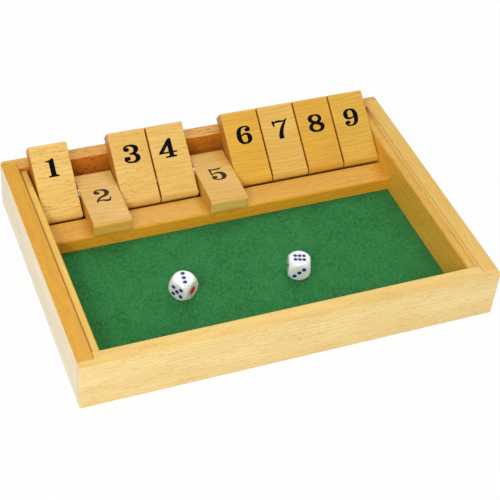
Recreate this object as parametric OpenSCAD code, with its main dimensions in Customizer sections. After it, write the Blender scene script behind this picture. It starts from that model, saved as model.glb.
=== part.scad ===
// Shut the box: a shallow beech tray with nine numbered flaps on a steel rod.
// +X is to the player's right, +Y to the back, +Z up. The origin is the middle of the underside.

/* [Box] */
// Overall width of the box
box_w = 285; // [260:1:320]
// Overall depth of the box
box_d = 200; // [185:1:240]
// Height of the four walls
box_h = 36.5; // [34:0.5:40]
// Thickness of the four walls
wall_t = 11; // [9:0.5:13]
// Thickness of the lip that hides the end grain of each side wall
lip_t = 5; // [3:0.5:6]
// Radius of the two upright outer corners in front
front_corner_r = 1.2; // [0.5:0.1:4]
// Radius of the two upright outer corners at the back
back_corner_r = 4; // [0.5:0.1:5]
// Radius along the outer top edges
rim_r = 1; // [0.5:0.1:3]
// Radius along the outer bottom edges of the two side walls
foot_r = 2.5; // [0.5:0.1:4]
// Radius along the inner top edges and the other bottom edges
arris_r = 0.8; // [0.3:0.1:1.4]

/* [Floor] */
// Height of the board above what the box stands on
board_lift = 1.5; // [1:0.1:2.5]
// Thickness of the bottom board
board_t = 3.5; // [2.5:0.5:4.5]
// Depth of the groove that holds the board
groove_depth = 4; // [2:0.5:5]
// Gap between the edge of the board and the bottom of its groove
groove_clear = 0.3; // [0.1:0.1:0.6]
// Thickness of the felt
felt_t = 1; // [0.6:0.1:1.4]
// Gap between the felt and the wood round it
felt_clear = 0.2; // [0.1:0.1:0.5]

/* [Liners and rest rail] */
// Thickness of the strips that line the side walls and hold the rod
liner_t = 6; // [5:0.5:8]
// Step from the rim down to the top of the liners
liner_drop = 3; // [1:0.5:4]
// Radius along the inner top edge of the liners
liner_r = 1.6; // [0.5:0.1:2.5]
// Depth of the rest rail that the flaps lie on
rail_d = 18.7; // [16:0.1:22]
// Height of the rest rail above the felt
rail_h = 10.5; // [9.5:0.1:12]
// Clear depth of the bay between the rest rail and the back wall
bay_d = 40; // [38:0.5:44]
// Radius along the front top edge of the rest rail
rail_front_r = 2; // [0.5:0.1:3]
// Radius along the back top edge of the rest rail
rail_back_r = 0.8; // [0.4:0.1:1.5]

/* [Hinge rod] */
// Diameter of the steel rod
rod_d = 3.5; // [3:0.1:4.5]
// Distance from the back wall to the middle of the rod
rod_from_back = 23.5; // [22:0.5:25]
// How far each end of the rod goes into its liner
rod_seat = 5; // [3:0.5:5]
// Radial clearance between the rod and the bore of a flap
hinge_clear = 0.1; // [0.05:0.01:0.2]
// Radial clearance between the rod and its seats in the liners
seat_clear = 0.05; // [0.02:0.01:0.1]

/* [Flaps] */
// Number of flaps
flap_count = 9; // [9:9]
// Flaps that lie forward on the rail
flaps_down = [2, 5];
// Gap between two flaps
flap_gap = 0.9; // [0.3:0.1:1.2]
// Gap between the first flap and the left liner
left_play = 1.1; // [0.4:0.1:3]
// Gap between the last flap and the right liner
right_play = 0.4; // [0.4:0.1:3]
// Shift of a lowered flap along the rod, to the right
down_shift = 0.5; // [0:0.1:0.6]
// Length of a flap from the rod to its short end
flap_near = 16.5; // [15:0.1:17]
// Length of a flap from the rod to its long end
flap_far = 37.4; // [33:0.1:40]
// Distance from the rod to the front face, that the raised flap shows
face_off = 7.1; // [6:0.1:7.6]
// Thickness at the short end
near_t = 12.2; // [11:0.1:14]
// Thickness at the long end
far_t = 11; // [8.5:0.1:12.5]
// Radius of the short end at the front face
near_face_r = 4.6; // [2:0.1:5]
// Radius of the short end at the back face
near_back_r = 4; // [2:0.1:6]
// Radius of the long end at the front face
far_face_r = 1.8; // [0.8:0.1:3]
// Radius of the long end at the back face
far_back_r = 2.8; // [2:0.1:5]
// Radius along the two sides of a flap
side_r = 0.7; // [0.3:0.1:1.2]
// Gap between a resting flap and what it rests on
rest_gap = 0.3; // [0.2:0.05:0.5]

/* [Dice] */
// Distance between two opposite faces of a die
die_size = 14.6; // [13:0.1:16]
// Radius of the ball that rounds off the corners
die_ball_r = 9.9; // [9.8:0.1:10.8]
// Distance of a pip from the middle lines of its face
pip_step = 2.9; // [2.6:0.1:3.2]
// Share of that distance between the two rows of the six
six_squeeze = 0.64; // [0.6:0.01:1]
// Diameter of a pip
pip_d = 2.3; // [1.6:0.1:2.4]
// Diameter of the large single pip
one_d = 5.4; // [3:0.1:6]
// Depth of every pip
pip_depth = 0.35; // [0.2:0.05:0.5]
// Gap between a die and the felt
die_gap = 0.05; // [0.02:0.01:0.1]
// Place of the left die on the felt
left_die_at = [-52.1, -29.3];
// Turn of the left die
left_die_turn = -52.8; // [-90:0.1:90]
// Place of the right die on the felt
right_die_at = [28.4, -33.2];
// Turn of the right die
right_die_turn = -18.5; // [-90:0.1:90]

/* [Hidden] */
$fn = 64;
// Length that a cutter runs past the solid that it cuts
over = 1;

inner_w = box_w - 2 * wall_t;
inner_d = box_d - 2 * wall_t;
well_w = inner_w - 2 * liner_t;
board_top = board_lift + board_t;
felt_top = board_top + felt_t;
liner_top = box_h - liner_drop;
rail_top = felt_top + rail_h;
rail_back = inner_d / 2 - bay_d;

rod_y = inner_d / 2 - rod_from_back;
rod_z = rail_top + rest_gap + face_off;
rod_length = well_w + 2 * rod_seat;

flap_w = (well_w - left_play - right_play - (flap_count - 1) * flap_gap) / flap_count;
flap_pitch = flap_w + flap_gap;
first_flap_x = -well_w / 2 + left_play;

// Slope of the back face of a flap against the front face, and its distance from the rod
back_slope = atan((near_t - far_t) / (flap_near + flap_far));
back_off = (near_t - face_off) * cos(back_slope) - flap_near * sin(back_slope);

// A raised flap leans until its back face meets the rounded inner edge of the back wall
edge_y = rod_from_back + arris_r;
edge_z = box_h - arris_r - rod_z;
edge_reach = norm([edge_y, edge_z]);
face_reach = back_off + rest_gap + arris_r;
flap_lean = atan2(edge_z, edge_y) + asin(face_reach / edge_reach) - back_slope;
flap_swing = 180 - flap_lean;
echo(flap_lean = flap_lean, flap_swing = flap_swing, rod_y = rod_y, rod_z = rod_z);

die_lift = felt_top + die_gap + die_size / 2;

// Plane shape with its own radius at each corner, in the order
// bottom left, bottom right, top right, top left
module soft_rect(low, high, radii) {
    corners = [low, [high.x, low.y], high, [low.x, high.y]];
    inward = [[1, 1], [-1, 1], [-1, -1], [1, -1]];
    difference() {
        translate(low) square(high - low);
        for (i = [0:3]) if (radii[i] > 0)
            translate(corners[i]) scale_sign(inward[i]) corner_waste(radii[i]);
    }
}

// Waste outside a rounded corner that points to the bottom left
module corner_waste(r) {
    difference() {
        translate([-over, -over]) square(r + over);
        translate([r, r]) circle(r);
    }
}

// Turns a corner that points to the bottom left towards another quarter
module scale_sign(way) {
    mirror([way.x < 0 ? 1 : 0, 0]) mirror([0, way.y < 0 ? 1 : 0]) children();
}

// Extrusions of a plane shape along X, Y and Z, each about the origin
module along_x(length) { rotate([90, 0, 90]) linear_extrude(length, center = true) children(); }
module along_y(length) { rotate([90, 0, 0]) linear_extrude(length, center = true) children(); }

// Outer form of the box, which every wall is cut to, with its own radius at the upright corners
module box_form(upright_r) {
    half = [box_w / 2, box_d / 2];
    side_edge = [foot_r, foot_r, rim_r, rim_r];
    end_edge = [arris_r, arris_r, rim_r, rim_r];
    intersection() {
        linear_extrude(box_h)
            soft_rect(-half, half, [upright_r, upright_r, upright_r, upright_r]);
        along_y(box_d + 2 * over) soft_rect([-half.x, 0], [half.x, box_h], side_edge);
        along_x(box_w + 2 * over) soft_rect([-half.y, 0], [half.y, box_h], end_edge);
    }
}

// Groove for the bottom board, as a slab that reaches into all four walls
module groove() {
    translate([0, 0, board_lift + board_t / 2])
        cube([inner_w + 2 * groove_depth, inner_d + 2 * groove_depth, board_t], center = true);
}

// Front wall; the back wall is its mirror image with softer corners
module long_wall(upright_r) {
    lip_y = -box_d / 2 + lip_t;
    color("burlywood") difference() {
        intersection() {
            box_form(upright_r);
            union() {
                along_x(box_w) translate([-box_d / 2, 0]) square([lip_t, box_h]);
                along_x(inner_w) soft_rect([-box_d / 2, 0], [-inner_d / 2, box_h], [0, 0, arris_r, 0]);
            }
        }
        groove();
    }
}

module front_wall() { long_wall(front_corner_r); }
module back_wall() { mirror([0, 1, 0]) long_wall(back_corner_r); }

// Left wall; the right wall is its mirror image
module short_wall() {
    color("peru") difference() {
        intersection() {
            box_form(front_corner_r);
            along_y(box_d - 2 * lip_t)
                soft_rect([-box_w / 2, 0], [-inner_w / 2, box_h], [0, 0, arris_r, 0]);
        }
        groove();
    }
}

module left_wall() { short_wall(); }
module right_wall() { mirror([1, 0, 0]) short_wall(); }

module bottom_board() {
    reach = 2 * (groove_depth - groove_clear);
    color("tan") translate([0, 0, board_lift + board_t / 2])
        cube([inner_w + reach, inner_d + reach, board_t], center = true);
}

module felt_lining() {
    color("seagreen") translate([0, 0, board_top + felt_t / 2])
        cube([well_w - 2 * felt_clear, inner_d - 2 * felt_clear, felt_t], center = true);
}

// Left liner with the seat of the rod; the right liner is its mirror image
module liner() {
    color("sandybrown") difference() {
        along_y(inner_d)
            soft_rect([-inner_w / 2, board_top], [-well_w / 2, liner_top], [0, 0, liner_r, 0]);
        translate([-well_w / 2 - rod_seat, rod_y, rod_z]) rotate([0, 90, 0])
            cylinder(h = rod_seat + over, d = rod_d + 2 * seat_clear);
    }
}

module left_liner() { liner(); }
module right_liner() { mirror([1, 0, 0]) liner(); }

module rest_rail() {
    color("goldenrod") along_x(well_w)
        soft_rect([rail_back - rail_d, felt_top], [rail_back, rail_top],
                  [0, 0, rail_back_r, rail_front_r]);
}

module hinge_rod() {
    color("silver") translate([0, rod_y, rod_z]) rotate([0, 90, 0])
        cylinder(h = rod_length, d = rod_d, center = true);
}

// Unit vector from one point towards another
function towards(a, b) = (b - a) / norm(b - a);

// Half of the turn that an outline makes at point i
function half_turn(points, i) = let(
    n = len(points),
    back = towards(points[i], points[(i + n - 1) % n]),
    ahead = towards(points[i], points[(i + 1) % n])
) 90 - acos(back * ahead) / 2;

// Middle of the arc of radius r that rounds point i
function arc_middle(points, i, r) = let(
    n = len(points),
    back = towards(points[i], points[(i + n - 1) % n]),
    ahead = towards(points[i], points[(i + 1) % n])
) points[i] + towards([0, 0], back + ahead) * r / cos(half_turn(points, i));

// The two points where that arc leaves the straight sides
function arc_ends(points, i, r) = let(
    n = len(points),
    run = r * tan(half_turn(points, i))
) [for (j = [i + n - 1, i + 1]) points[i] + towards(points[i], points[j % n]) * run];

// Convex outline with an arc at each point
module rounded_outline(points, radii) {
    polygon([for (i = [0:len(points) - 1]) each arc_ends(points, i, radii[i])]);
    for (i = [0:len(points) - 1]) translate(arc_middle(points, i, radii[i])) circle(radii[i]);
}

// Side view of a flap: rod at the origin, long end at +X, front face at +Y
module flap_outline() {
    rounded_outline(
        [[flap_far, face_off - far_t], [flap_far, face_off],
         [-flap_near, face_off], [-flap_near, face_off - near_t]],
        [far_back_r, far_face_r, near_face_r, near_back_r]);
}

// Bar along Y with rounded edges where it ends at z = -depth
module soft_bar(depth) {
    reach = flap_near + flap_far;
    along_y(2 * reach)
        soft_rect([-flap_w / 2, -depth], [flap_w / 2, reach], [side_r, side_r, 0, 0]);
}

// Flap with the rod along X through its origin, long end at +Y, front face at +Z
module flap() {
    color("wheat") difference() {
        intersection() {
            along_x(flap_w + 2 * over) flap_outline();
            rotate([back_slope, 0, 0]) soft_bar(back_off);
            rotate([0, 180, 0]) soft_bar(face_off);
            linear_extrude(2 * flap_far, center = true)
                soft_rect([-flap_w / 2, -flap_near], [flap_w / 2, flap_far],
                          [side_r, side_r, side_r, side_r]);
        }
        rotate([0, 90, 0])
            cylinder(h = flap_w + 2 * over, d = rod_d + 2 * hinge_clear, center = true);
    }
}

// Flap number i in its place, raised or laid down
module tile(i) {
    is_down = len([for (k = flaps_down) if (k == i) k]) > 0;
    middle = first_flap_x + (i - 1) * flap_pitch + flap_w / 2;
    translate([is_down ? middle + down_shift : middle, rod_y, rod_z])
        rotate([is_down ? 180 : flap_lean, 0, 0]) flap();
}

module tile_1() { tile(1); }
module tile_2() { tile(2); }
module tile_3() { tile(3); }
module tile_4() { tile(4); }
module tile_5() { tile(5); }
module tile_6() { tile(6); }
module tile_7() { tile(7); }
module tile_8() { tile(8); }
module tile_9() { tile(9); }

// Places of the pips on a face, in steps from its middle
SLANT = [[-1, 1], [1, -1]];
SQUARE = [[-1, -1], [1, -1], [-1, 1], [1, 1]];
PAIRS = [for (x = [-1, 0, 1], y = [-six_squeeze, six_squeeze]) [x, y]];
MIDDLE = [[0, 0]];
PIPS = [MIDDLE, SLANT, concat(SLANT, MIDDLE), SQUARE, concat(SQUARE, MIDDLE), PAIRS];
// Turn that brings the top face to each side: one at +X, two at +Y, three on top
FACE_TURNS = [[0, 90, 0], [-90, 0, 0], [0, 0, 0], [180, 0, 0], [90, 0, 0], [90, 0, -90]];

// Ball that leaves a dimple of diameter d in the face at z = 0
module dimple(d) {
    ball_r = (d * d / 4 + pip_depth * pip_depth) / (2 * pip_depth);
    translate([0, 0, ball_r - pip_depth]) sphere(ball_r);
}

// Die with three on top, two at the back and one on the right
module die() {
    color("white") difference() {
        intersection() {
            cube(die_size, center = true);
            sphere(die_ball_r);
        }
        for (face = [0:5], at = PIPS[face])
            rotate(FACE_TURNS[face])
                translate([at.x * pip_step, at.y * pip_step, die_size / 2])
                    dimple(face == 0 ? one_d : pip_d);
    }
}

module die_left() {
    translate([left_die_at.x, left_die_at.y, die_lift]) rotate([0, 0, left_die_turn]) die();
}

// The right die has six on top and three in front
module die_right() {
    translate([right_die_at.x, right_die_at.y, die_lift])
        rotate([0, 0, right_die_turn]) rotate([0, 90, -90]) die();
}

front_wall();
back_wall();
left_wall();
right_wall();
bottom_board();
felt_lining();
left_liner();
right_liner();
rest_rail();
hinge_rod();
tile_1();
tile_2();
tile_3();
tile_4();
tile_5();
tile_6();
tile_7();
tile_8();
tile_9();
die_left();
die_right();
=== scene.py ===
"""Looks of a shut the box game: varnished beech, green felt, steel rod, printed numerals, dice."""
import math

import bmesh
import bpy
import numpy as np
from mathutils import Matrix, Vector, geometry


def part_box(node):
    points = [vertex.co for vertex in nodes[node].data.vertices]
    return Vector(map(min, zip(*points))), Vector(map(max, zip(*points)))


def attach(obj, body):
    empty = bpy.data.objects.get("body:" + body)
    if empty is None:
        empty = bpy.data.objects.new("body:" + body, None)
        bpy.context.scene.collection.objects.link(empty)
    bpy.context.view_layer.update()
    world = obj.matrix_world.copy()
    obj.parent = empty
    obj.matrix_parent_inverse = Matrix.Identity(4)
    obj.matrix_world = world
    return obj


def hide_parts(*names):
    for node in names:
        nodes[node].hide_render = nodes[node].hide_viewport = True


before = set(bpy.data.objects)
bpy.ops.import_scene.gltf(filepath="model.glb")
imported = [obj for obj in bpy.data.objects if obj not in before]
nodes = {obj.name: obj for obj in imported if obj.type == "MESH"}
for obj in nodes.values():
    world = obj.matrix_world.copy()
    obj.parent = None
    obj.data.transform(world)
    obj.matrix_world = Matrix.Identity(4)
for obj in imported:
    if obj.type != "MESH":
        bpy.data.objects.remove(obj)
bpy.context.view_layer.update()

MM = 0.001


# ---- Shader and mesh helpers ----

def put(tree, kind, inputs=(), **settings):
    """A shader node with its settings and inputs; an input is a value or another node's output."""
    made = tree.nodes.new(kind)
    for name, value in settings.items():
        setattr(made, name, value)
    for name, value in dict(inputs).items():
        if isinstance(value, bpy.types.NodeSocket):
            tree.links.new(value, made.inputs[name])
        else:
            made.inputs[name].default_value = value
    return made


def blank_material(name):
    material = bpy.data.materials.new(name)
    material.use_nodes = True
    material.node_tree.nodes.clear()
    return material, material.node_tree


def finish_material(tree, shader):
    put(tree, "ShaderNodeOutputMaterial", {"Surface": shader.outputs[0]})


def rgba(red, green, blue):
    """Shader colour of an sRGB colour in 0 to 255."""
    def linear(c):
        c /= 255
        return c / 12.92 if c <= 0.04045 else ((c + 0.055) / 1.055) ** 2.4
    return (linear(red), linear(green), linear(blue), 1.0)


def mix(tree, factor, first, second, blend="MIX"):
    inputs = {0: factor, 6: first, 7: second}
    return put(tree, "ShaderNodeMix", inputs, data_type="RGBA", blend_type=blend).outputs[2]


def tint(tree, tone, by):
    """Product of two colours."""
    return mix(tree, 1.0, tone, by, "MULTIPLY")


def calculate(tree, operation, first, second=0.0):
    return put(tree, "ShaderNodeMath", {0: first, 1: second}, operation=operation).outputs[0]


def times(tree, first, second):
    return calculate(tree, "MULTIPLY", first, second)


def calculate_vector(tree, operation, first, second):
    return put(tree, "ShaderNodeVectorMath", {0: first, 1: second}, operation=operation).outputs


def ramp(tree, value, low, high):
    """Value taken from 0 at low to 1 at high."""
    inputs = {"Value": value, "From Min": low, "From Max": high}
    return put(tree, "ShaderNodeMapRange", inputs).outputs[0]


def spread(tree, value, low, high):
    """Value taken from low at 0 to high at 1."""
    inputs = {"Value": value, "To Min": low, "To Max": high}
    return put(tree, "ShaderNodeMapRange", inputs).outputs[0]


def noise(tree, place, scale, detail, stretch=(1, 1, 1)):
    """Noise around 0.5; a larger stretch along an axis makes it finer that way."""
    stretched = put(tree, "ShaderNodeMapping", {"Vector": place, "Scale": stretch}).outputs[0]
    inputs = {"Vector": stretched, "Scale": scale, "Detail": detail}
    return put(tree, "ShaderNodeTexNoise", inputs).outputs[0]


def bump(tree, height, strength, distance):
    inputs = {"Height": height, "Strength": strength, "Distance": distance}
    return put(tree, "ShaderNodeBump", inputs).outputs[0]


def object_place(tree):
    return put(tree, "ShaderNodeTexCoord").outputs["Object"]


def mesh_of(bm, name):
    """Mesh with the faces of a bmesh, which is freed."""
    mesh = bpy.data.meshes.new(name)
    bm.to_mesh(mesh)
    bm.free()
    return mesh


def points_of(made):
    """Points among the results of a bmesh operator."""
    return [item for item in made["geom"] if isinstance(item, bmesh.types.BMVert)]


def round_angles(steps):
    return np.arange(steps) * 2 * math.pi / steps


def new_object(name, mesh, material, body):
    """A piece of its own that rides a body."""
    made = bpy.data.objects.new(name, mesh)
    bpy.context.scene.collection.objects.link(made)
    mesh.materials.append(material)
    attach(made, body)
    return made


def clothe(name, material):
    """Gives a CAD node its material."""
    mesh = nodes[name].data
    mesh.materials.clear()
    mesh.materials.append(material)


# ---- Materials ----

GRAIN_TURN = {"X": (0, 0, 0), "Y": (0, 0, math.pi / 2)}
GRAIN_NORMAL = {"X": 0, "Y": 1}
# Place in the log of the piece with offset 1, and how far from its heart all pieces are
LOG_STEP, LOG_HEART = (1.0, 0.31, 0.17), 0.06
# Fineness of the figure, per metre along and across the grain
CLOUDS, FIBRES, DASHES, DASH_PATCHES = (14, 70), (60, 1000), (300, 1900), (60, 120)
RINGS, RING_WAVER = 110.0, 1.5
WARP_FINENESS, WARP = 16.0, 0.012
# Values of the noise between which a dash, a patch of dashes, a cloud and a dark fibre set in
DASH_PART, PATCH_PART, CLOUD_PART, FIBRE_PART = (0.57, 0.66), (0.32, 0.55), (0.3, 0.7), (0.35, 0.7)
# How squarely a side has to look a given way for its painted light and shade, and for end grain, to
# set in
SIDE_LIGHT_PART, END_PART = (0.55, 0.85), (0.6, 0.95)
# How much a cloud and end grain darken the wood
CLOUD_SHARE, END_SHARE = 0.45, 0.3
# What the pale and the dark wood, and the flecks, do to the tone of a piece
PALE_WOOD, DARK_WOOD = (1.05, 1.07, 1.10, 1.0), (0.89, 0.81, 0.66, 1.0)
FLECK, DARK_FLECK = (0.80, 0.60, 0.42, 1.0), (0.48, 0.32, 0.22, 1.0)
# Painted shade: dark line along the joint of a wall and its liner, where shade falls, and how soft
# its edge is
JOINT_SHADE_TONE, JOINT_SHADE_SOFT = (0.62, 0.40, 0.20, 1.0), 0.2 * MM


def wood(name, tone, grain="X", offset=0.0, flecks=0.5, bands=0.25, coarse=1.0, fibres=0.35,
         gloss=0.3, fleck=FLECK, faces=(), joint_shade=None):
    """Varnished beech with ray flecks, fibres and soft growth bands.

    The numbers flecks, bands and fibres are strengths, and offset takes the piece from another
    part of the log. A coarse wood has longer and thicker flecks and fibres. Each entry of faces
    is (direction, tone): painted light and shade, a tone for the sides of the piece that look
    that way. The dark line along a joint is given as (direction, start) and is painted shade:
    the wood is dark where it is further than start from the origin in that direction.
    """
    material, tree = blank_material(name)
    at = put(tree, "ShaderNodeTexCoord").outputs
    place = put(tree, "ShaderNodeMapping", {
        "Vector": at["Object"], "Rotation": GRAIN_TURN[grain],
        "Location": (offset * LOG_STEP[0], offset * LOG_STEP[1],
                     LOG_HEART + offset * LOG_STEP[2])}).outputs[0]

    def grained(fineness, detail, coarseness=1.0):
        along, across = (f / coarseness for f in fineness)
        return noise(tree, place, 1.0, detail, (along, across, across))

    swirl = put(tree, "ShaderNodeTexNoise", {
        "Vector": place, "Scale": WARP_FINENESS, "Detail": 2.0}).outputs["Color"]
    warp = calculate_vector(tree, "MULTIPLY", swirl, (WARP, WARP, WARP))[0]
    bent = calculate_vector(tree, "ADD", place, warp)[0]
    rings = put(tree, "ShaderNodeTexWave", {
        "Vector": bent, "Scale": RINGS, "Distortion": RING_WAVER, "Detail": 2.0},
        wave_type="RINGS", rings_direction="X").outputs[1]
    cloud = ramp(tree, grained(CLOUDS, 3.0), *CLOUD_PART)
    fibre = grained(FIBRES, 3.0, coarse)
    dashes = times(tree, ramp(tree, grained(DASHES, 1.0, coarse), *DASH_PART),
                   ramp(tree, grained(DASH_PATCHES, 1.0), *PATCH_PART))

    # Painted light and shade: a side that looks a given way gets its own tone
    for direction, side_light_and_shade in faces:
        squarely = calculate_vector(tree, "DOT_PRODUCT", at["Normal"], direction)["Value"]
        tone = mix(tree, ramp(tree, squarely, *SIDE_LIGHT_PART), tone, side_light_and_shade)
    normal = put(tree, "ShaderNodeSeparateXYZ", {0: at["Normal"]}).outputs[GRAIN_NORMAL[grain]]
    end = ramp(tree, calculate(tree, "ABSOLUTE", normal), *END_PART)
    dark = 0.0
    for share in (times(tree, rings, bands), times(tree, cloud, CLOUD_SHARE),
                  times(tree, ramp(tree, fibre, *FIBRE_PART), fibres),
                  times(tree, end, END_SHARE)):
        dark = calculate(tree, "ADD", dark, share)
    tone = tint(tree, tone, mix(tree, dark, PALE_WOOD, DARK_WOOD))
    tone = mix(tree, times(tree, dashes, flecks), tone, tint(tree, tone, fleck))

    # Painted shade: a dark line along the joint with the neighbouring piece
    if joint_shade:
        direction, start = joint_shade
        reach = calculate_vector(tree, "DOT_PRODUCT", at["Object"], direction)["Value"]
        in_joint_shade = ramp(tree, reach, start, start + JOINT_SHADE_SOFT)
        tone = mix(tree, in_joint_shade, tone, tint(tree, tone, JOINT_SHADE_TONE))

    finish_material(tree, put(tree, "ShaderNodeBsdfPrincipled", {
        "Base Color": tone, "Roughness": spread(tree, fibre, 0.42, 0.58),
        "Normal": bump(tree, calculate(tree, "SUBTRACT", fibre, dashes), 0.08, 0.05 * MM),
        "Specular IOR Level": 0.22, "Coat Weight": gloss, "Coat Roughness": 0.12}))
    return material


# Colours of the felt: its mottling, the fibres that catch the light, the specks and the sheen
FELT_DARK, FELT_LIGHT, FELT_FIBRE = rgba(34, 103, 49), rgba(46, 121, 64), rgba(68, 144, 86)
FELT_SPECK, FELT_SHEEN = rgba(150, 190, 130), rgba(120, 200, 130)
# Fineness of the fibres, the mottling, the specks and the patches with specks
FINE_FIBRES, FINE_MOTTLING, FINE_SPECKS, FINE_PATCHES = 450, 70, 900, 300
FIBRE_STRETCH, FIBRE_SHARE, SPECK_SHARE = 2.6, 0.7, 0.12


def felt_material():
    """Short green pile: soft mottling, fine crossing fibres, a few pale specks and a soft sheen."""
    material, tree = blank_material("green_felt")
    place = object_place(tree)
    fibres = times(tree, noise(tree, place, FINE_FIBRES, 4.0, (1, FIBRE_STRETCH, 1)),
                   noise(tree, place, FINE_FIBRES, 4.0, (FIBRE_STRETCH, 1, 1)))
    mottling = ramp(tree, noise(tree, place, FINE_MOTTLING, 4.0), 0.3, 0.7)
    specks = times(tree, ramp(tree, noise(tree, place, FINE_SPECKS, 1.0), 0.66, 0.74),
                   ramp(tree, noise(tree, place, FINE_PATCHES, 1.0), 0.5, 0.6))
    tone = mix(tree, mottling, FELT_DARK, FELT_LIGHT)
    tone = mix(tree, times(tree, ramp(tree, fibres, 0.17, 0.37), FIBRE_SHARE), tone, FELT_FIBRE)
    tone = mix(tree, times(tree, specks, SPECK_SHARE), tone, FELT_SPECK)
    finish_material(tree, put(tree, "ShaderNodeBsdfPrincipled", {
        "Base Color": tone, "Roughness": 0.95, "Normal": bump(tree, fibres, 0.5, 0.3 * MM),
        "Specular IOR Level": 0.1, "Sheen Weight": 0.12, "Sheen Roughness": 0.5,
        "Sheen Tint": FELT_SHEEN}))
    return material


def steel_material():
    """Bright steel with fine lines along X, the way it was drawn."""
    material, tree = blank_material("bright_steel")
    lines = noise(tree, object_place(tree), 1.0, 3.0, (60, 2500, 2500))
    finish_material(tree, put(tree, "ShaderNodeBsdfPrincipled", {
        "Base Color": mix(tree, lines, rgba(196, 198, 200), rgba(232, 232, 230)),
        "Metallic": 1.0, "Roughness": spread(tree, lines, 0.16, 0.34)}))
    return material


# Inks and paints: colour, roughness, clear coat and specular level
PAINTS = {"black_ink": (rgba(7, 5, 2), 0.4, 0.04, 0.03),
          # Ink of the back faces: paler than the black ink, a painted sheen of the lacquer over it
          "painted_sheen_ink": (rgba(45, 40, 24), 0.4, 0.06, 0.05),
          "pip_blue": (rgba(8, 42, 130), 0.3, 0.3, 0.3),
          "pip_red": (rgba(255, 0, 44), 0.35, 0.2, 0.15)}
# What a thin film does to the colour, and how far the thinnest film is like that
THIN_GAIN, THIN_LIFT, THIN_SHARE = 1.6, 0.004, 0.6


def paint_material(name):
    """Ink or paint that is a little paler where its film is thin."""
    colour, rough, coat, specular = PAINTS[name]
    material, tree = blank_material(name)
    film = noise(tree, object_place(tree), 900.0, 3.0)
    thin = tuple(c * THIN_GAIN + THIN_LIFT for c in colour[:3]) + (1.0,)
    finish_material(tree, put(tree, "ShaderNodeBsdfPrincipled", {
        "Base Color": mix(tree, times(tree, ramp(tree, film, 0.45, 0.8), THIN_SHARE), colour, thin),
        "Roughness": rough, "Normal": bump(tree, film, 0.15, 0.05 * MM),
        "Specular IOR Level": specular, "Coat Weight": coat, "Coat Roughness": 0.1}))
    return material


def dice_material():
    """Glossy white plastic that lets a little light in."""
    material, tree = blank_material("dice_white")
    cloud = noise(tree, object_place(tree), 220.0, 3.0)
    finish_material(tree, put(tree, "ShaderNodeBsdfPrincipled", {
        "Base Color": mix(tree, cloud, rgba(242, 245, 242), rgba(250, 252, 251)),
        "Roughness": spread(tree, cloud, 0.22, 0.34),
        "Subsurface Weight": 0.8, "Subsurface Radius": (1.0, 0.95, 0.95),
        "Subsurface Scale": 8 * MM, "Coat Weight": 0.4, "Coat Roughness": 0.08}))
    return material


# ---- Numerals ----

# The flaps, the rod that they turn on, and the planes of their two faces
FLAPS = range(1, 10)
FLAPS_DOWN = (2, 5)
ROD_AT = Vector((0.0, 65.5, 23.9)) * MM
FLAP_LEAN = math.radians(37.0924)
FACE_OFF = 7.1 * MM
BACK_OFF = 4.7315 * MM
BACK_SLOPE = math.radians(1.2754)

# Numerals in mm: width and height, and place of the middle to the right of the flap's middle
# line and from the rod towards the long end, on the front and the back face
DIGIT_SIZE = {1: (7.8, 13.0), 2: (10.9, 13.1), 3: (11.7, 13.3), 4: (13.3, 13.8), 5: (11.0, 12.9),
              6: (11.3, 13.3), 7: (11.8, 14.3), 8: (12.2, 13.3), 9: (11.2, 13.1)}
FRONT_AT = {1: (0.0, 20.4), 2: (0.0, 19.5), 3: (0.5, 20.2), 4: (-1.5, 19.7), 5: (0.0, 19.5),
            6: (0.4, 19.2), 7: (0.9, 18.9), 8: (0.4, 18.5), 9: (0.3, 18.3)}
BACK_AT = {i: (0.0, 10.1) for i in FLAPS} | {2: (0.5, 10.1), 5: (1.05, 10.1)}
# How far the film of ink reaches into the wood and out of it
INK_UNDER, INK_OVER = 0.02 * MM, 0.03 * MM

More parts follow.
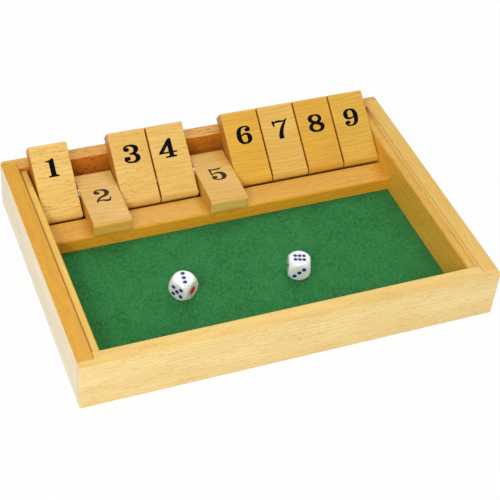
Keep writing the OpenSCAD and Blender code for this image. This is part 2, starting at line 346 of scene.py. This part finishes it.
# Each digit is drawn round its own middle, about 100 units high. A stroke is a list of
# (x, y, width) along its middle line, a ball is (x, y, radius) and a plate is a list of corners.
# Nine is six turned round.
STROKES, BALLS, PLATES = "strokes", "balls", "plates"
DIGITS = {
    1: {STROKES: [[(-25, 36, 8), (-16, 36, 9), (-6, 37, 11)],
                  [(-23, -45, 9), (27, -45, 9)]],
        PLATES: [[(-12, -44), (16, -44), (16, 46), (13, 50), (5, 50), (-2, 45), (-12, 40)],
                 [(-18, -42), (-12, -36), (16, -36), (22, -42)]]},
    2: {STROKES: [[(-38, 24, 12), (-37, 33, 12), (-28, 41, 11), (-10, 45, 9), (8, 43, 13),
                   (22, 37, 20), (31, 22, 28), (24, 7, 22), (9, -3, 15), (-8, -9, 13),
                   (-22, -17, 12), (-33, -27, 12), (-39, -37, 11), (-41, -45, 8)],
                  [(-36, -36, 9), (-26, -33, 8), (-12, -33, 10), (3, -37, 13), (18, -41, 15),
                   (30, -39, 14), (38, -30, 9), (43, -19, 6)]],
        BALLS: [(-30, 26, 12), (-20, 23, 10)]},
    3: {STROKES: [[(-31, 22, 12), (-34, 30, 12), (-28, 39, 11), (-12, 45, 9), (3, 44, 12),
                   (18, 38, 19), (27, 26, 28), (22, 11, 22), (10, 3, 11), (-9, 0, 8)],
                  [(-9, 0, 8), (8, -3, 11), (22, -10, 20), (29, -25, 28), (20, -39, 19),
                   (4, -45, 11), (-10, -45, 10), (-27, -41, 10), (-38, -32, 12), (-38, -22, 12)]],
        BALLS: [(-27, 25, 11), (-19, 25, 10.5), (-32, -24, 11.5), (-21, -24, 10.5)]},
    4: {STROKES: [[(-44, -23, 8), (44, -22, 8)],
                  [(-12, -45, 9), (38, -45, 9)]],
        PLATES: [[(10, 47), (17, 50), (25, 50), (28, 47), (28.5, 20), (28, -44), (5, -44),
                  (3.5, 13), (-23, -19), (-26, -26), (-46, -26), (-48, -20)],
                 [(-1, -42), (5, -36), (28, -36), (34, -42)]]},
    5: {STROKES: [[(-42, 41, 12), (-25, 39, 11), (-5, 38.5, 11), (12, 38.5, 12), (22, 41, 10),
                   (30, 46, 6)],
                  [(-42.5, 44, 11), (-41, 20, 12), (-41, 5, 10), (-41.5, -4, 7)],
                  [(-41, 0, 7), (-29, 5, 8), (-12, 10, 11), (6, 9, 15), (21, 1, 24),
                   (29.5, -17, 32), (22, -34, 24), (6, -44, 12), (-10, -44.5, 9), (-28, -39, 10),
                   (-41, -31, 12), (-43, -22, 12)]],
        BALLS: [(-36, -23, 12), (-24, -22.5, 10.5)]},
    6: {STROKES: [[(33, 24, 10), (36, 31, 9), (32, 39, 9), (20, 45, 8.5), (4, 45.5, 9),
                   (-12, 40, 15), (-24, 26, 23), (-28.5, 6, 26), (-28.5, -14, 27), (-24, -30, 22),
                   (-13, -42, 14), (2, -44.5, 10), (16, -41, 15), (26, -30, 23), (28.5, -17, 27),
                   (25, -3, 22), (15, 4, 13), (3, 5.5, 10), (-8, 2, 8), (-17, -4, 6)]],
        BALLS: [(19, 27.5, 10), (28, 28.5, 11)]},
    7: {STROKES: [[(-35, 42, 11), (-34, 34, 12), (-32, 18, 8)],
                  [(-33, 36, 9), (-20, 39, 11), (-5, 40.5, 12), (12, 39, 10), (26, 40, 8),
                   (38, 48, 6)],
                  [(38, 48, 6), (30, 36, 9), (20, 24, 13), (10, 8, 17), (1, -12, 20),
                   (-5, -32, 24)]],
        PLATES: [[(-16.5, -28), (7, -28), (8, -48), (5, -52), (-15, -52), (-19, -48),
                  (-18, -36)]]},
    8: {STROKES: [[(3, 2, 14), (-15, 9, 17), (-28, 19, 23), (-29.5, 30, 26), (-20, 41, 17),
                   (0, 46, 8.5), (18, 41, 15), (27, 29, 21), (25, 17, 19), (14, 8, 14),
                   (-3, 2, 14)],
                  [(-4, 3, 14), (16, -4, 19), (31, -12, 24), (33, -23, 25), (24, -37, 18),
                   (0, -44.5, 11), (-24, -38, 16), (-34, -24, 24), (-29, -9, 19), (-14, 0, 14),
                   (4, 3, 14)]],
        BALLS: [(0, 2, 8)]},
}
CURVE_STEPS = 8
BALL_STEPS = 28
# Angles of the points on the round end of a stroke, without the two on its sides
CAP_TURN = np.linspace(0, math.pi, 9)[1:-1]
# Outline points closer than this, in the digits' own units, become one
OUTLINE_SNAP = 1e-2


def smooth_line(points):
    """Catmull-Rom curve through (x, y, width) points."""
    p = np.array(points, float)
    p = np.vstack([2 * p[0] - p[1], p, 2 * p[-1] - p[-2]])
    line = []
    for a, b, c, d in zip(p, p[1:], p[2:], p[3:]):
        for t in np.arange(CURVE_STEPS) / CURVE_STEPS:
            line.append(0.5 * (2 * b + (c - a) * t + (2 * a - 5 * b + 4 * c - d) * t ** 2
                               + (3 * b - a - 3 * c + d) * t ** 3))
    return np.array(line + [p[-2]])


def stroke_outline(points):
    """Outline of a stroke with round ends whose width changes along its middle line."""
    line = smooth_line(points)
    along = np.gradient(line[:, :2], axis=0)
    along /= np.linalg.norm(along, axis=1)[:, None]
    across = np.stack([-along[:, 1], along[:, 0]], 1)
    side = across * line[:, 2:] / 2

    def cap(end, out):
        """Half circle from one side of the stroke round its end to the other."""
        radius = line[end, 2] / 2
        aside, ahead = out * across[end], out * along[end]
        return np.array([line[end, :2] + radius * (math.cos(t) * aside + math.sin(t) * ahead)
                         for t in CAP_TURN])

    return np.vstack([line[:, :2] + side, cap(-1, 1), (line[:, :2] - side)[::-1], cap(0, -1)])


def ball_outline(x, y, radius):
    t = round_angles(BALL_STEPS)
    return np.stack([x + radius * np.cos(t), y + radius * np.sin(t)], 1)


def digit_outlines(digit):
    if digit == 9:
        return [-outline for outline in digit_outlines(6)]
    form = DIGITS[digit]
    return ([stroke_outline(stroke) for stroke in form.get(STROKES, [])]
            + [ball_outline(*ball) for ball in form.get(BALLS, [])]
            + [np.array(plate, float) for plate in form.get(PLATES, [])])


def winds_round(outline, point):
    """True if the outline goes round the point in its own sense, also where it crosses itself."""
    following = np.roll(outline, -1, axis=0)
    area = (outline[:, 0] * following[:, 1] - following[:, 0] * outline[:, 1]).sum() / 2
    d = outline - point
    angle = np.arctan2(d[:, 1], d[:, 0])
    turned = ((np.roll(angle, -1) - angle + math.pi) % (2 * math.pi) - math.pi).sum()
    return turned * math.copysign(1, area) > math.pi


def digit_mesh(digit):
    """Thin closed slab of ink in the shape of a digit, centred and upright along +Y."""
    outlines = digit_outlines(digit)
    everything = np.vstack(outlines)
    middle = (everything.min(0) + everything.max(0)) / 2
    scale = np.array([length * MM for length in DIGIT_SIZE[digit]]) / np.ptp(everything, axis=0)
    points, edges = [], []
    for outline in outlines:
        first, count = len(points), len(outline)
        edges += [(first + k, first + (k + 1) % count) for k in range(count)]
        points += [Vector(p) for p in outline]
    flat, _, faces = geometry.delaunay_2d_cdt(points, edges, [], 0, OUTLINE_SNAP)[:3]
    bm = bmesh.new()
    corners = [bm.verts.new((*(scale * (np.array(p) - middle)), INK_OVER)) for p in flat]
    for face in faces:
        centre = np.mean([flat[i] for i in face], axis=0)
        if any(winds_round(outline, centre) for outline in outlines):
            bm.faces.new([corners[i] for i in face])
    bmesh.ops.delete(bm, geom=[v for v in bm.verts if not v.link_faces], context="VERTS")
    bmesh.ops.recalc_face_normals(bm, faces=bm.faces)
    if bm.faces[0].normal.z < 0:
        bmesh.ops.reverse_faces(bm, faces=bm.faces)
    bottom = list(bm.faces)
    for v in points_of(bmesh.ops.extrude_face_region(bm, geom=bottom)):
        v.co.z = INK_OVER
    for face in bottom:
        for v in face.verts:
            v.co.z = -INK_UNDER
    bmesh.ops.recalc_face_normals(bm, faces=bm.faces)
    return mesh_of(bm, "digit")


def print_numerals(ink, painted_sheen_ink):
    """One numeral on the front face and one on the back face of every flap."""
    for i in FLAPS:
        low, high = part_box(f"tile_{i}")
        at_rod = Matrix.Translation(Vector(((low.x + high.x) / 2, ROD_AT.y, ROD_AT.z)))
        lean = math.pi if i in FLAPS_DOWN else FLAP_LEAN
        flap = at_rod @ Matrix.Rotation(lean, 4, "X")
        aside, along = (length * MM for length in FRONT_AT[i])
        front = new_object(f"numeral_{i}_raised", digit_mesh(i), ink, f"flap_{i}")
        front.matrix_basis = flap @ Matrix.Translation((aside, along, FACE_OFF))
        aside, along = (length * MM for length in BACK_AT[i])
        # The numeral on the back face takes the paler ink, a painted sheen
        back = new_object(f"numeral_{i}_lowered", digit_mesh(i), painted_sheen_ink, f"flap_{i}")
        back.matrix_basis = (flap @ Matrix.Rotation(BACK_SLOPE, 4, "X")
                             @ Matrix.Translation((aside, along, -BACK_OFF))
                             @ Matrix.Rotation(math.pi, 4, "X"))


# ---- Washers on the rod ----

# Radius of the rim and of the bore, thickness, and gap to the flap on the right
WASHER_RADIUS, WASHER_BORE, WASHER_T, WASHER_CLEAR = 4.7 * MM, 1.8 * MM, 0.3 * MM, 0.05 * MM
WASHER_STEPS = 48


def thread_washers(material):
    """A thin bright washer on the rod in every gap between two flaps, close to the right one."""
    section = ((WASHER_T / 2, WASHER_BORE), (WASHER_T / 2, WASHER_RADIUS),
               (-WASHER_T / 2, WASHER_RADIUS), (-WASHER_T / 2, WASHER_BORE))
    for i in list(FLAPS)[1:]:
        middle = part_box(f"tile_{i}")[0].x - WASHER_CLEAR - WASHER_T / 2
        bm = bmesh.new()
        rings = [[bm.verts.new((x, r * math.cos(a), r * math.sin(a)))
                  for a in round_angles(WASHER_STEPS)] for x, r in section]
        for inner, outer in zip(rings, rings[1:] + rings[:1]):
            for k in range(WASHER_STEPS):
                j = (k + 1) % WASHER_STEPS
                bm.faces.new((inner[k], outer[k], outer[j], inner[j]))
        bmesh.ops.recalc_face_normals(bm, faces=bm.faces)
        washer = new_object(f"washer_{i}", mesh_of(bm, "washer"), material, "box")
        washer.matrix_basis = Matrix.Translation((middle, ROD_AT.y, ROD_AT.z))


# ---- Felt ----

PILE_CELL = 1.6 * MM
# Height of the unevenness, the number of waves it is made of, their radians per metre and phases
PILE_WAVE, PILE_WAVES = 0.05 * MM, 14
WAVE_RANGE, PHASE_RANGE = (40, 400), (0, 6.28)
FELT_SEED = 7


def lay_felt(material):
    """Sheet of felt with a faintly uneven pile, on the bottom board."""
    low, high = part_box("felt_lining")
    size = high - low
    columns, rows = round(size.x / PILE_CELL), round(size.y / PILE_CELL)
    rng = np.random.default_rng(FELT_SEED)
    waves = [(rng.uniform(*WAVE_RANGE, 2), rng.uniform(*PHASE_RANGE)) for _ in range(PILE_WAVES)]

    def surface(x, y):
        lift = sum(math.sin(x * k[0] + y * k[1] + phase) for k, phase in waves) / len(waves)
        return high.z - PILE_WAVE + PILE_WAVE * lift

    bm = bmesh.new()
    grid = [[bm.verts.new((low.x + size.x * c / columns, low.y + size.y * r / rows, high.z))
             for c in range(columns + 1)] for r in range(rows + 1)]
    for r in range(rows):
        for c in range(columns):
            bm.faces.new((grid[r][c], grid[r][c + 1], grid[r + 1][c + 1], grid[r + 1][c]))
    for v in bm.verts:
        v.co.z = surface(v.co.x, v.co.y)
    rim = [e for e in bm.edges if e.is_boundary]
    for v in points_of(bmesh.ops.extrude_edge_only(bm, edges=rim)):
        v.co.z = low.z
    bmesh.ops.contextual_create(bm, geom=[e for e in bm.edges if e.is_boundary])
    bmesh.ops.recalc_face_normals(bm, faces=bm.faces)
    felt = new_object("felt_sheet", mesh_of(bm, "felt_sheet"), material, "box")
    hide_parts("felt_lining")


# ---- Pips of the dice ----

DIE_SIZE = 14.6 * MM
# Distance of a pip from the middle lines of its face, and the share of it for the rows of a six
PIP_STEP, SIX_SQUEEZE = 2.9 * MM, 0.64
PIP_RADIUS, ONE_RADIUS, PIP_DEPTH = 1.15 * MM, 2.7 * MM, 0.35 * MM
# How far the paint runs over the rim of a dimple, and how thick it is
PAINT_OVER, SIX_OVER = 0.3 * MM, 0.17 * MM
CAP_LIFT = 0.015 * MM
CAP_RINGS, CAP_STEPS = 6, 32

# Places of the pips in steps on the faces from one to six, and how each face is turned
SLANT = [(-1, 1), (1, -1)]
SQUARE = [(-1, -1), (1, -1), (-1, 1), (1, 1)]
PAIRS = [(x, y) for x in (-1, 0, 1) for y in (-SIX_SQUEEZE, SIX_SQUEEZE)]
MIDDLE = [(0, 0)]
PIPS = {1: MIDDLE, 2: SLANT, 3: SLANT + MIDDLE, 4: SQUARE, 5: SQUARE + MIDDLE, 6: PAIRS}
FACE_TURN = {1: (0, 90, 0), 2: (-90, 0, 0), 3: (0, 0, 0),
             4: (180, 0, 0), 5: (90, 0, 0), 6: (90, 0, -90)}
RED_FACES = (1, 4)


def turn(angles):
    """Rotation about X, then Y, then Z, in degrees, as the solids use."""
    x, y, z = (math.radians(a) for a in angles)
    return Matrix.Rotation(z, 4, "Z") @ Matrix.Rotation(y, 4, "Y") @ Matrix.Rotation(x, 4, "X")


# How each die lies on the felt
DICE = {"left": turn((0, 0, -52.8)), "right": turn((0, 0, -18.5)) @ turn((0, 90, -90))}


def add_cap(bm, at, radius, over):
    """Dished disc on the bottom of a dimple, with a rim as wide as over on the face round it."""
    ball = (radius ** 2 + PIP_DEPTH ** 2) / (2 * PIP_DEPTH)
    places = []
    for k in range(1, CAP_RINGS + 1):
        r = radius * k / CAP_RINGS
        places.append((r, ball - PIP_DEPTH - math.sqrt(ball ** 2 - r ** 2) + CAP_LIFT))
    places.append((radius + over, CAP_LIFT))
    rings = [[bm.verts.new(at @ Vector((r * math.cos(a), r * math.sin(a), z)))
              for a in round_angles(CAP_STEPS)] for r, z in places]
    centre = bm.verts.new(at @ Vector((0, 0, CAP_LIFT - PIP_DEPTH)))
    for i in range(CAP_STEPS):
        j = (i + 1) % CAP_STEPS
        bm.faces.new((centre, rings[0][i], rings[0][j]))
        for inner, outer in zip(rings, rings[1:]):
            bm.faces.new((inner[i], outer[i], outer[j], inner[j]))


def paint_pips(side, colours):
    """Paint in the dimples of a die: a thin cap that follows each dimple."""
    low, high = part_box(f"die_{side}")
    middle = (low + high) / 2
    for colour_name, material in colours.items():
        bm = bmesh.new()
        for face, places in PIPS.items():
            if (face in RED_FACES) != (colour_name == "red"):
                continue
            radius = ONE_RADIUS if face == 1 else PIP_RADIUS
            over = SIX_OVER if face == 6 else PAINT_OVER
            for x, y in places:
                at = turn(FACE_TURN[face]) @ Matrix.Translation(
                    (x * PIP_STEP, y * PIP_STEP, DIE_SIZE / 2))
                add_cap(bm, at, radius, over)
        mesh = mesh_of(bm, "pips")
        for polygon in mesh.polygons:
            polygon.use_smooth = True
        pips = new_object(f"die_{side}_pips_{colour_name}", mesh, material,
                          f"die_{side}_body")
        pips.matrix_basis = Matrix.Translation(middle) @ DICE[side]


# ---- Woods of the pieces ----

# Directions that the sides of a piece look in
LEFT, RIGHT, FORWARD, UP = (-1, 0, 0), (1, 0, 0), (0, -1, 0), (0, 0, 1)
UP_LEFT = (-math.sqrt(0.5), 0, math.sqrt(0.5))
# Painted shade: deeper tone of the sides that look into the tray, where less light reaches
INSIDE_SHADE = rgba(235, 184, 70)
# For every wooden node but the flaps: name of its wood, tone, and what differs from plain wood. The
# tones of its sides are painted light and shade, and a dark line along a joint is painted shade
WOODS = {
    "front_wall": ("beech_front", rgba(247, 220, 152), {
        "offset": 0.13, "flecks": 0.6,
        "faces": [(UP, rgba(237, 201, 113)), (LEFT, rgba(239, 223, 180))]}),
    "back_wall": ("beech_back", rgba(232, 177, 86), {
        "offset": 0.47, "flecks": 1.0, "bands": 0.45, "coarse": 1.2, "fibres": 1.1,
        "fleck": DARK_FLECK, "faces": [(FORWARD, rgba(223, 138, 42))]}),
    "left_wall": ("beech_left", rgba(224, 163, 40), {
        "grain": "Y", "offset": 0.71,
        "faces": [(LEFT, rgba(244, 231, 195)), (FORWARD, INSIDE_SHADE)]}),
    "right_wall": ("beech_right", rgba(230, 187, 90), {
        "grain": "Y", "offset": 0.23, "flecks": 0.3, "faces": [(LEFT, rgba(250, 226, 150))],
        "joint_shade": (UP_LEFT, -67.66 * MM)}),
    "left_liner": ("beech_liner_left", rgba(238, 197, 87), {
        "grain": "Y", "offset": 0.37, "faces": [(RIGHT, INSIDE_SHADE)], "joint_shade": (LEFT, 129.95 * MM)}),
    "right_liner": ("beech_liner_right", rgba(226, 184, 80), {
        "grain": "Y", "offset": 0.53, "flecks": 0.8, "fibres": 0.8, "faces": [(LEFT, INSIDE_SHADE)]}),
    "rest_rail": ("beech_rail", rgba(226, 171, 63), {
        "offset": 0.59, "flecks": 0.8, "coarse": 1.3, "gloss": 0.25,
        "faces": [(FORWARD, rgba(244, 174, 46))]}),
    "bottom_board": ("plywood", rgba(214, 180, 128), {
        "offset": 0.83, "flecks": 0.6, "gloss": 0.0}),
}
# Flaps from one to nine: tone, strength of the flecks and of the growth bands, coarseness
FLAP_WOOD = {
    1: (rgba(243, 203, 113), 0.9, 0.2, 1.6), 2: (rgba(230, 186, 103), 0.4, 0.3, 1.0),
    3: (rgba(240, 195, 106), 0.7, 0.2, 1.4), 4: (rgba(240, 199, 108), 0.45, 0.2, 1.3),
    5: (rgba(226, 179, 84), 0.3, 0.3, 1.0), 6: (rgba(236, 181, 61), 0.25, 0.25, 1.2),
    7: (rgba(240, 195, 97), 0.3, 0.5, 1.6), 8: (rgba(232, 178, 60), 0.2, 0.25, 1.2),
    9: (rgba(231, 185, 72), 0.4, 0.4, 1.2)}
FLAP_FIBRES, FLAP_OFFSET = 0.65, 0.11
# Painted shade and light: darker tone of the sides of the raised flaps, in their narrow gaps, paler
# tone of the sides of the lowered flaps, and paler tone of the long end of the lowered ones,
# painted light
FLAP_SIDE_SHADE, DOWN_SIDE_LIGHT = rgba(208, 144, 58), rgba(220, 171, 70)
DOWN_END_LIGHT = {2: rgba(246, 193, 90), 5: rgba(244, 204, 112)}


def dress_wood():
    """Wood for each wooden node: own tone and grain, and painted light and shade on some sides."""
    for node, (name, tone, look) in WOODS.items():
        clothe(node, wood(name, tone, **look))
    for i, (tone, flecks, bands, coarse) in FLAP_WOOD.items():
        # Painted shade on the sides of the raised flaps, painted light on the sides and long end of
        # the lowered ones
        side = DOWN_SIDE_LIGHT if i in FLAPS_DOWN else FLAP_SIDE_SHADE
        faces = [(LEFT, side), (RIGHT, side)]
        if i in FLAPS_DOWN:
            faces.append((FORWARD, DOWN_END_LIGHT[i]))
        clothe(f"tile_{i}", wood(f"beech_tile_{i}", tone, offset=i * FLAP_OFFSET, flecks=flecks,
                                 bands=bands, coarse=coarse, fibres=FLAP_FIBRES, faces=faces))


# ---- Camera, light and background ----

# Camera, fitted to the straight edges of the box in the photograph
VIEW_AZIMUTH = math.radians(-24.79)
VIEW_ELEVATION = math.radians(42.73)
VIEW_ROLL = math.radians(5.69)
VIEW_DISTANCE = 954.1 * MM
VIEW_TARGET = Vector((8.4, 3.5, 0.0)) * MM
LENS, SENSOR = 99.31, 36.0
CLIP_NEAR, CLIP_FAR = 0.05, 20.0
# Softboxes: place and width in metres, power in watts
LAMPS = {"key": ((-0.58, -0.84, 0.8), 0.6, 6.1),
         "top": ((0.55, 0.8, 1.5), 1.0, 7.8),
         "spark": ((-0.72, -0.52, 0.95), 0.07, 1.6)}
WHITE = (1, 1, 1, 1)
# Strength of the light from all around, and of the white that the camera sees
AMBIENT, BACKGROUND = 0.52, 1.0
FLOOR_HALF, FLOOR_GREY = 6.0, (0.9, 0.9, 0.9, 1)
# How much of the floor's shadow the white hides
FLOOR_WHITE_SHARE = 0.94


def camera():
    """Camera with the view of the photograph."""
    back = Vector((math.sin(VIEW_AZIMUTH) * math.cos(VIEW_ELEVATION),
                   -math.cos(VIEW_AZIMUTH) * math.cos(VIEW_ELEVATION), math.sin(VIEW_ELEVATION)))
    right = Vector((0, 0, 1)).cross(back).normalized()
    up = back.cross(right)
    rolled_right = right * math.cos(VIEW_ROLL) + up * math.sin(VIEW_ROLL)
    rolled_up = up * math.cos(VIEW_ROLL) - right * math.sin(VIEW_ROLL)
    data = bpy.data.cameras.new("camera")
    data.lens, data.sensor_width = LENS, SENSOR
    data.clip_start, data.clip_end = CLIP_NEAR, CLIP_FAR
    made = bpy.data.objects.new("camera", data)
    made.matrix_world = (Matrix.Translation(VIEW_TARGET + back * VIEW_DISTANCE)
                         @ Matrix((rolled_right, rolled_up, back)).transposed().to_4x4())
    bpy.context.scene.collection.objects.link(made)
    bpy.context.scene.camera = made


def softbox(name, at, width, power):
    """Square area lamp that aims at the middle of the box."""
    data = bpy.data.lights.new(name, "AREA")
    data.shape, data.size, data.energy = "SQUARE", width, power
    made = bpy.data.objects.new(name, data)
    made.location = at
    made.rotation_euler = (-Vector(at)).to_track_quat("-Z", "Y").to_euler()
    bpy.context.scene.collection.objects.link(made)


def sees_background(tree):
    """One for camera rays and mirrored rays, which see the white, and zero for all others."""
    path = put(tree, "ShaderNodeLightPath").outputs
    return calculate(tree, "MAXIMUM", path["Is Camera Ray"], path["Is Glossy Ray"])


def floor():
    """Pale floor that looks white to the camera and keeps a faint shadow."""
    half = FLOOR_HALF
    mesh = bpy.data.meshes.new("floor")
    mesh.from_pydata([(-half, -half, 0), (half, -half, 0), (half, half, 0), (-half, half, 0)],
                     [], [(0, 1, 2, 3)])
    material, tree = blank_material("floor_white")
    plain = put(tree, "ShaderNodeBsdfDiffuse", {"Color": FLOOR_GREY}).outputs[0]
    white = put(tree, "ShaderNodeEmission", {"Color": WHITE, "Strength": BACKGROUND}).outputs[0]
    share = times(tree, sees_background(tree), FLOOR_WHITE_SHARE)
    finish_material(tree, put(tree, "ShaderNodeMixShader", {0: share, 1: plain, 2: white}))
    mesh.materials.append(material)
    made = bpy.data.objects.new("floor", mesh)
    bpy.context.scene.collection.objects.link(made)


def studio():
    """Soft even light, three softboxes and a white background."""
    scene = bpy.context.scene
    scene.view_settings.view_transform = "Standard"
    world = bpy.data.worlds.new("studio")
    world.use_nodes = True
    tree = world.node_tree
    tree.nodes.clear()
    around, behind = (put(tree, "ShaderNodeBackground", {"Color": WHITE, "Strength": s}).outputs[0]
                      for s in (AMBIENT, BACKGROUND))
    shade = put(tree, "ShaderNodeMixShader", {0: sees_background(tree), 1: around, 2: behind})
    put(tree, "ShaderNodeOutputWorld", {"Surface": shade.outputs[0]})
    scene.world = world
    for name, (at, width, power) in LAMPS.items():
        softbox(name, at, width, power)


camera()
studio()
floor()
dress_wood()
steel = steel_material()
clothe("hinge_rod", steel)
thread_washers(steel)
white = dice_material()
pip_paints = {"blue": paint_material("pip_blue"), "red": paint_material("pip_red")}
for side in DICE:
    clothe(f"die_{side}", white)
    paint_pips(side, pip_paints)
print_numerals(paint_material("black_ink"), paint_material("painted_sheen_ink"))
lay_felt(felt_material())
